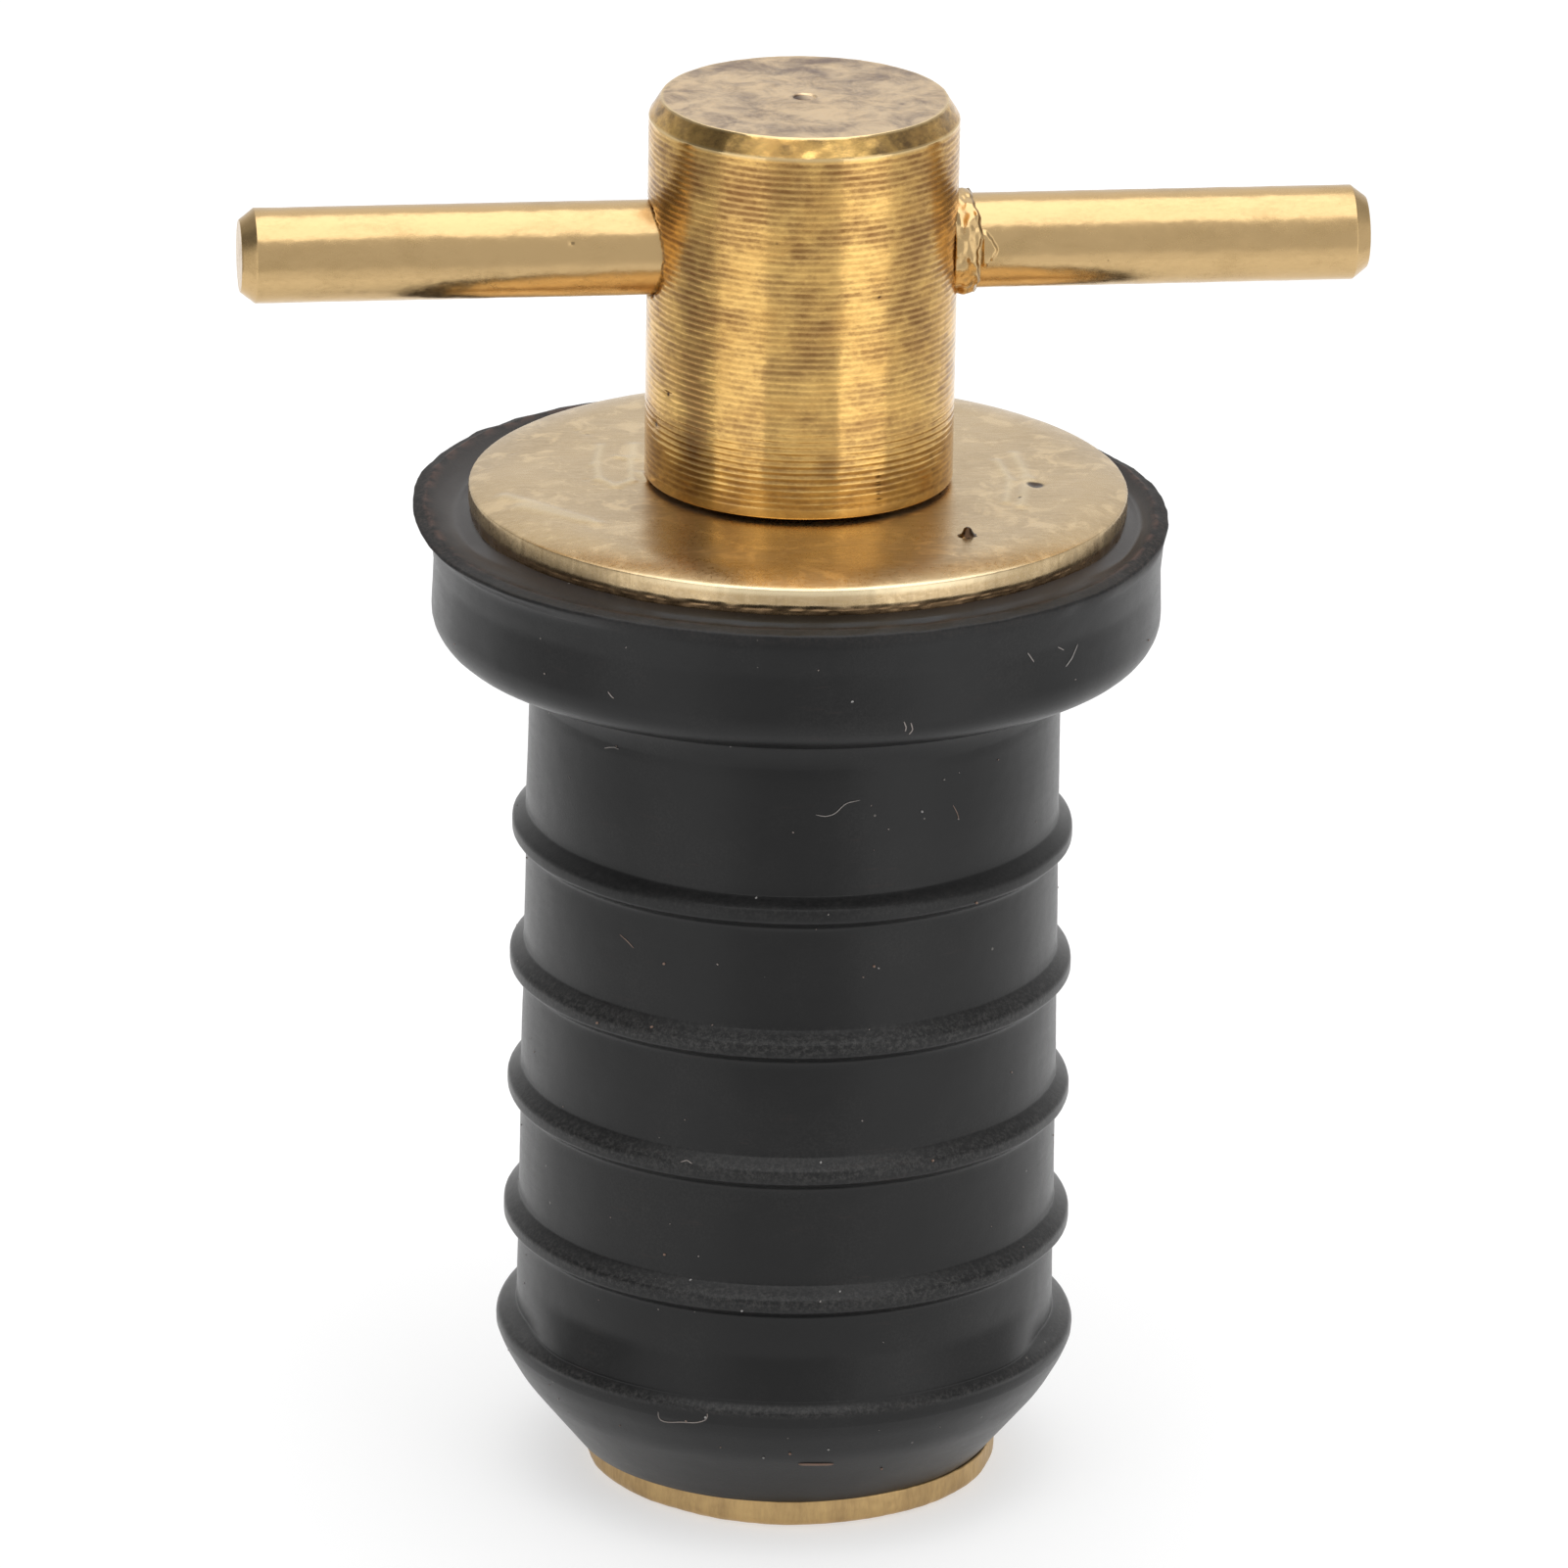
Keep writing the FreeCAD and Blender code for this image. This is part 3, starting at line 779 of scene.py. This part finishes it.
nicks = spots([
    (1.0, -95, knob_top - 0.45, 3, 0.3), (0.7, -100, knob_top, 1.5, 0.1),
    (0.5, -60, knob_top - 0.7, 2, 0.15)], knob_turn, knob_z)


def pits_at(listed, x, y, z):
    """The sum of round pits (x, y, z, size): exp(-(distance / size)^2)."""
    return sum(np.exp(-((x - a) ** 2 + (y - b) ** 2 + (z - c) ** 2) / size ** 2) for a, b, c, size in listed)


# The centre mark goes into the dark pit colour, darker on its -x side as painted shade.
mark_shade = 0.5 + 0.3 * np.clip(-knob_x / 0.4, -1, 1)
face_share = np.where(knob_r < 0.6, smooth(knob_z, knob_top - 0.3, knob_top - 0.2),
                      smooth(knob_z, knob_top - 0.05, knob_top))
knob_pits_and_mark_shade = pits_at((
    (-6.57, -1.70, 49.5, 0.17), (-6.2, -2.8, 51.2, 0.12), (-5.9, -3.3, 50.9, 0.08), (-4.9, -4.7, 52.3, 0.08),
    (2.6, -6.3, 56.5, 0.08), (-1.9, -6.5, 59.1, 0.1), (4.4, -5.2, 55.2, 0.07)), knob_x, knob_y, knob_z)
knob_pits_and_mark_shade = knob_pits_and_mark_shade + face_share * smooth(-knob_r, -0.6, -0.48) * mark_shade
top_edge = smooth(knob_z, knob_top - 1.05, knob_top - 0.8) * smooth(knob_r, 6, 6.2)
knob_out = knob_r - on_wall * (feed_depth * feed_strength * scallop + 0.06 * knob_pits_and_mark_shade) - 0.3 * mouth
knob_out = knob_out - top_edge * (0.05 * nicks + 0.012 * ripple(36, 0.7, knob_x, knob_y, knob_z))
knob_out = knob_out + on_wall * 0.004 * ripple(33, 1.2, knob_x, knob_y, knob_z)
face_wave = 0.006 * ripple(34, 1.5, knob_x, knob_y, 0) + 0.004 * ripple(35, 0.4, knob_x, knob_y, 0) - 0.012
knob_points = turned(knob_out, knob_z + face_share * face_wave, knob_columns)
chamfer = smooth(knob_z, knob_top - 0.88, knob_top - 0.8)
chamfer *= 1 - smooth(knob_z, knob_top - 0.06, knob_top - 0.01)
chamfer *= smooth(knob_r, knob_radius - 0.6, knob_radius - 0.5)
near_top = smooth(knob_z, knob_top - 0.2, knob_top - 0.1)
# The chamfer's edges are worn bright and also carry a painted highlight.
edge_wear_and_highlight = (bell(knob_z - knob_top + knob_chamfer_axial, 0.09, 1.0)
             + bell(knob_r - knob_radius + knob_chamfer_radial, 0.08, 1.0) * near_top)
knob_piece = make_piece(
    "turned_knob", knob_points, scallop=scallop * on_wall, face=face_share, chamfer=chamfer, mouth=mouth,
    pit=knob_pits_and_mark_shade, stain=on_wall * wall_stains + chamfer * chamfer_stains + face_share * face_stains,
    edge=np.clip(edge_wear_and_highlight, 0, 1), low=on_wall * (1 - smooth(knob_z, 50.3, 56.3)))


def knob_brass():
    """Turned brass: brown tarnish lies in the feed marks, most where the stain measure or large noise is
    high. The parted-off face is grey-violet in blotches, with painted shade on one side of its centre mark,
    and the chamfer is dark in patches between worn edges with a painted highlight. The mouth round the bar is
    painted dark as shade."""
    made = brass("turned_brass", (0.85, 0.54, 0.18), (0.69, 0.41, 0.13), 0.16, patch=0.35, cover=(0.35, 0.75),
                 stretch=(1, 1, 1.6), grain=4.0, bump=3e-6)
    tree, where = made.tree, made.where
    stain = measure(tree, "stain")
    rough_spot = noise(where, 0.5, detail=6.0, roughness=0.68)
    stained = ramp(scaled(stain, 0.16, rough_spot), 0.38, 0.72)
    heavy = times(ramp(stain, 1.4, 3.0), ramp(rough_spot, 0.3, 0.6))
    groove = ramp(measure(tree, "scallop"), 0.25, 0.95)
    dashes = noise(millimetres(tree, (1, 1, 2.4)), 1.5, detail=3.0, roughness=0.6)
    dashes = ramp(dashes, 0.36, 0.64)
    in_groove = times(scaled(stained, 0.55, 0.1), groove)
    in_groove = scaled(times(dashes, groove), 0.24, in_groove, clamp=True)
    in_groove = times(in_groove, scaled(measure(tree, "low"), -0.3, 1.0))
    face_noise = noise(where, 0.6, detail=7.0, roughness=0.68, distortion=0.5)
    face_noise = ramp(scaled(stain, 0.16, face_noise), 0.38, 0.78)
    face_colour = mixed(face_noise, (0.73, 0.55, 0.345, 1), (0.235, 0.165, 0.125, 1))
    chamfer_dark = scaled(stain, 0.3, noise(where, 0.9, detail=5.0, roughness=0.7))
    chamfer_dark = times(ramp(chamfer_dark, 0.42, 0.85), measure(tree, "chamfer"))
    colour = layered(
        made.colour,
        (times(stained, 0.55), (0.33, 0.19, 0.085)),
        (times(heavy, 0.6), (0.15, 0.095, 0.06)),
        (in_groove, (0.2, 0.09, 0.03)))
    colour = layered(
        mixed(measure(tree, "face"), colour, face_colour),
        (times(chamfer_dark, 0.85), (0.13, 0.085, 0.05)),
        # worn edges with a painted highlight
        (times(measure(tree, "edge"), 0.8), (0.82, 0.62, 0.33)),
        # painted shade in the mouth round the bar
        (ramp(measure(tree, "mouth"), 0.1, 0.7), (0.09, 0.045, 0.02)),
        # pits, and painted shade in the centre mark
        (ramp(measure(tree, "pit"), 0.3, 0.8), (0.08, 0.04, 0.02)))
    rougher = scaled(measure(tree, "face"), 0.2, times(in_groove, 0.12))
    rougher = scaled(measure(tree, "low"), -0.08, rougher)
    rougher = scaled(measure(tree, "edge"), -0.1, rougher)
    return finish_brass(made, colour, rougher=rougher)


dress(knob_piece, knob_brass())
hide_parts("knob")
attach(knob_piece, "handle")

# Handle bar
# Drawn brass rod with turned chamfers, pressed through the knob from the right. Pressing it in skinned a
# ragged collar of metal off the rod, which still stands against the knob, with one flake bent away.

bar_left, bar_right = bar_low[0], bar_high[0]
bar_length = bar_right - bar_left
bar_end_radius, bar_chamfer = bar_radius - 0.5, 0.65
collar_start, collar_stop = knob_radius - 0.3, 7.72
fine_start, fine_stop, fine_step = collar_start - 0.3, 8.8, 0.035
flake_side = math.radians(175)
bar_columns = 144
rod_path = outline([
    (pole_radius, 0.0, 0), (bar_end_radius, 0.0, 0.06), (bar_radius, bar_chamfer, 0.06),
    (bar_radius, bar_length - bar_chamfer, 0.06), (bar_end_radius, bar_length, 0.06),
    (pole_radius, bar_length, 0)], 0.12)
rod_path[:, 1] += bar_left
before_collar, after_collar = rod_path[:, 1] < fine_start, rod_path[:, 1] > fine_stop
fine_x = np.arange(fine_start, fine_stop, fine_step)
fine_rows = np.stack([np.full(len(fine_x), bar_radius), fine_x], axis=1)
rod_path = np.concatenate([rod_path[before_collar], fine_rows, rod_path[after_collar]])
rod_r, rod_x, rod_angle, rod_y, rod_z = spread(rod_path, bar_columns)

# The collar's edge and height vary round the rod. The flake is a tongue that runs on from the collar.
on_rod = smooth(rod_r, bar_radius - 0.05, bar_radius - 0.01)
edge_wave = 0.16 * ripple(41, 1.6, 0 * rod_x, rod_y, rod_z)
edge_notches = 0.05 * ripple(42, 0.5, 0 * rod_x, rod_y, rod_z)
collar_edge = collar_stop - 0.18 + edge_wave + edge_notches
collar = smooth(rod_x, collar_start - 0.1, collar_start)
collar = collar * (1 - smooth(rod_x, collar_edge - 0.12, collar_edge + 0.05))
height_wave = 0.07 * ripple(43, 0.9, 1.2 * rod_x, rod_y, rod_z)
height_folds = 0.03 * np.abs(ripple(46, 0.6, rod_x, rod_y, rod_z))
collar_height = 0.17 + height_wave + height_folds
flake_angle = np.angle(np.exp(1j * (rod_angle - flake_side)))
flake_tip = 8.35 - 1.5 * np.abs(flake_angle) ** 1.2 + 0.05 * ripple(44, 0.3, rod_x, rod_y, rod_z)
flake = 1 - smooth(rod_x, flake_tip - 0.12, flake_tip)
flake = flake * smooth(rod_x, collar_stop - 0.15, collar_stop + 0.05)
flake = flake * (1 - smooth(np.abs(flake_angle), 0.3, 0.42))
rod_pits = pits_at((
    (-19.3, -1.4, 58.5, 0.09), (-10.3, -1.9, 57.9, 0.1), (23.5, -1.2, 58.7, 0.08), (13.2, -2.0, 56.6, 0.07),
    (19.3, -1.5, 58.5, 0.06)), rod_x, rod_y, rod_z + bar_z)
rod_wave = 0.006 * ripple(45, 1.3, 0.7 * rod_x, rod_y, rod_z)
rod_wave = rod_wave + 0.0025 * ripple(47, 0.5, 0.7 * rod_x, rod_y, rod_z)
rod_out = rod_r + on_rod * (collar * collar_height + 0.13 * flake * (1 - collar) + rod_wave - 0.05 * rod_pits)
rod_points = np.stack([
    rod_x + 0 * rod_angle, rod_out * np.cos(rod_angle), bar_z + rod_out * np.sin(rod_angle)], axis=-1)
collar_split = np.clip(collar * (1 - collar) * 4, 0, 1) + smooth(collar_height, 0.14, 0.07) * collar
rod_piece = make_piece("handle_rod", rod_points, crevice=np.clip(collar_split, 0, 1), pit=rod_pits)


def drawn_brass():
    """Brass with streaks along the rod, brown in the collar's crevices and dark in a few pits."""
    made = brass("drawn_brass", (0.615, 0.425, 0.205), (0.48, 0.325, 0.15), 0.22, patch=0.5,
                 cover=(0.4, 0.85), stretch=(0.5, 1, 1), grain=6.0, bump=3e-6)
    tree = made.tree
    colour = layered(
        made.colour,
        (times(measure(tree, "crevice"), 0.75), (0.16, 0.09, 0.035)),
        (ramp(measure(tree, "pit"), 0.3, 0.8), (0.1, 0.06, 0.03)))
    return finish_brass(made, colour)


dress(rod_piece, drawn_brass())
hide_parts("handle_bar")
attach(rod_piece, "handle")

# Table and studio
# The plug stands on a white table whose front edge is near, in a white tent that is open towards the camera.
# Two soft boxes stand in front, left and right, and one hangs overhead.

camera_place = Vector((-0.069759, -0.530180, 0.222766))
camera_pitch = 0.342698
camera_heading = math.atan2(0.1221665, 0.9338948)
camera_roll = 0.016971
camera_lens = 293.87

toward_camera = Vector((-math.sin(camera_heading), -math.cos(camera_heading), 0))
aside = Vector((toward_camera.y, -toward_camera.x, 0))
floor_front, floor_side, floor_back = 0.06, 0.13, 1.5
floor_glow = 0.54
floor_corners = [tuple(toward_camera * y + aside * x) for x, y in (
    (-floor_side, floor_front), (floor_side, floor_front),
    (floor_side, -floor_back), (-floor_side, -floor_back))]
floor_mesh = bpy.data.meshes.new("table_top")
floor_mesh.from_pydata(floor_corners, [], [(0, 1, 2, 3)])
floor_piece = placed("table_top", floor_mesh)
floor_material, floor_tree, floor_shader = new_material(
    "white_table", Base_Color=(0.5, 0.5, 0.5, 1), Roughness=0.9, Specular_IOR_Level=0.1,
    Emission_Color=(1, 1, 1, 1))

# The table glows for the camera and in what it sees mirrored, but sends no light to matt surfaces.
path = node(floor_tree, "LightPath")
seen = maths("ADD", path.outputs["Is Camera Ray"], path.outputs["Is Glossy Ray"])
seen = maths("ADD", seen, path.outputs["Is Transmission Ray"], clamp=True)
link(times(seen, floor_glow), floor_shader.inputs["Emission Strength"])
dress(floor_piece, floor_material)


def soft_box(name, azimuth, elevation, distance, width, height, radiance):
    """An area lamp that faces the plug, from azimuth degrees left of the camera and elevation degrees up."""
    turn = math.radians(azimuth) + camera_heading
    level = math.cos(math.radians(elevation))
    away = Vector((-math.sin(turn) * level, -math.cos(turn) * level, math.sin(math.radians(elevation))))
    lamp = bpy.data.lights.new(name, "AREA")
    lamp.shape = "RECTANGLE"
    lamp.size, lamp.size_y = width, height
    lamp.energy = radiance * math.pi * width * height
    holder = placed(name, lamp)
    holder.location = Vector((0, 0, 0.03)) + away * distance
    holder.rotation_euler = away.to_track_quat("Z", "Y").to_euler()


soft_box("left_box", 45, 5, 0.7, 0.5, 1.1, 0.5)
soft_box("right_box", -48, 5, 0.7, 0.48, 1.1, 0.71)
soft_box("top_box", 0, 88, 0.75, 0.9, 1.03, 1.36)

# The tent's walls are (degrees round from the camera, level). The tent is lighter high up behind and low in
# front, and darker high up at the sides. The camera itself sees white.
tent_walls = (
    (-180, 0.88), (-150, 0.75), (-104, 0.65), (-102, 0.53), (-66, 0.49), (-64, 0.62), (0, 0.72), (67, 0.69),
    (69, 0.82), (115, 0.78), (150, 0.82), (180, 0.88))
world = bpy.data.worlds.new("tent")
world.use_nodes = True
bpy.context.scene.world = world
sky = world.node_tree
direction = node(sky, "SeparateXYZ", {0: node(sky, "TexCoord").outputs["Generated"]})


def along(way):
    """How far the direction points a level way, from -1 to 1."""
    return maths("ADD", times(direction.outputs[0], way.x), times(direction.outputs[1], way.y))


frontness, rightness = along(toward_camera), along(-aside)
round_angle = scaled(maths("ARCTAN2", rightness, frontness), 0.5 / math.pi, 0.5)
walls = node(sky, "ValToRGB", {0: round_angle})
while len(walls.color_ramp.elements) < len(tent_walls):
    walls.color_ramp.elements.new(0.5)
for stop, (degrees, level) in zip(walls.color_ramp.elements, tent_walls):
    stop.position = degrees / 360 + 0.5
    stop.color = (level, level, level, 1)
height = direction.outputs[2]
high_behind = times(ramp(height, 0.36, 0.5), ramp(frontness, -0.5, -0.8))
low_in_front = times(ramp(height, -0.28, -0.5), ramp(frontness, 0.2, 0.5))
sideness = maths("ABSOLUTE", rightness)
high_aside = times(ramp(height, 0.15, 0.4), ramp(sideness, 0.35, 0.7))
tent = walls.outputs[0]
for part, extra in ((high_behind, 0.12), (low_in_front, 0.26), (high_aside, -0.32)):
    tent = scaled(part, extra, tent)
white = maths("MAXIMUM", tent, node(sky, "LightPath").outputs["Is Camera Ray"])
link(white, sky.nodes["Background"].inputs["Strength"])
sky.nodes["Background"].inputs["Color"].default_value = (1, 1, 1, 1)

camera_data = bpy.data.cameras.new("camera")
camera_data.lens = camera_lens
camera_data.sensor_width = 36
camera_data.clip_end = 20
camera = placed("camera", camera_data)
forward = Vector((
    math.sin(camera_heading) * math.cos(camera_pitch), math.cos(camera_heading) * math.cos(camera_pitch),
    -math.sin(camera_pitch)))
level_right = forward.cross(Vector((0, 0, 1))).normalized()
level_up = level_right.cross(forward)
right = level_right * math.cos(camera_roll) + level_up * math.sin(camera_roll)
up = level_up * math.cos(camera_roll) - level_right * math.sin(camera_roll)
camera.matrix_world = Matrix.Translation(camera_place) @ Matrix((right, up, -forward)).transposed().to_4x4()
bpy.context.scene.camera = camera
bpy.context.scene.view_settings.view_transform = "Standard"
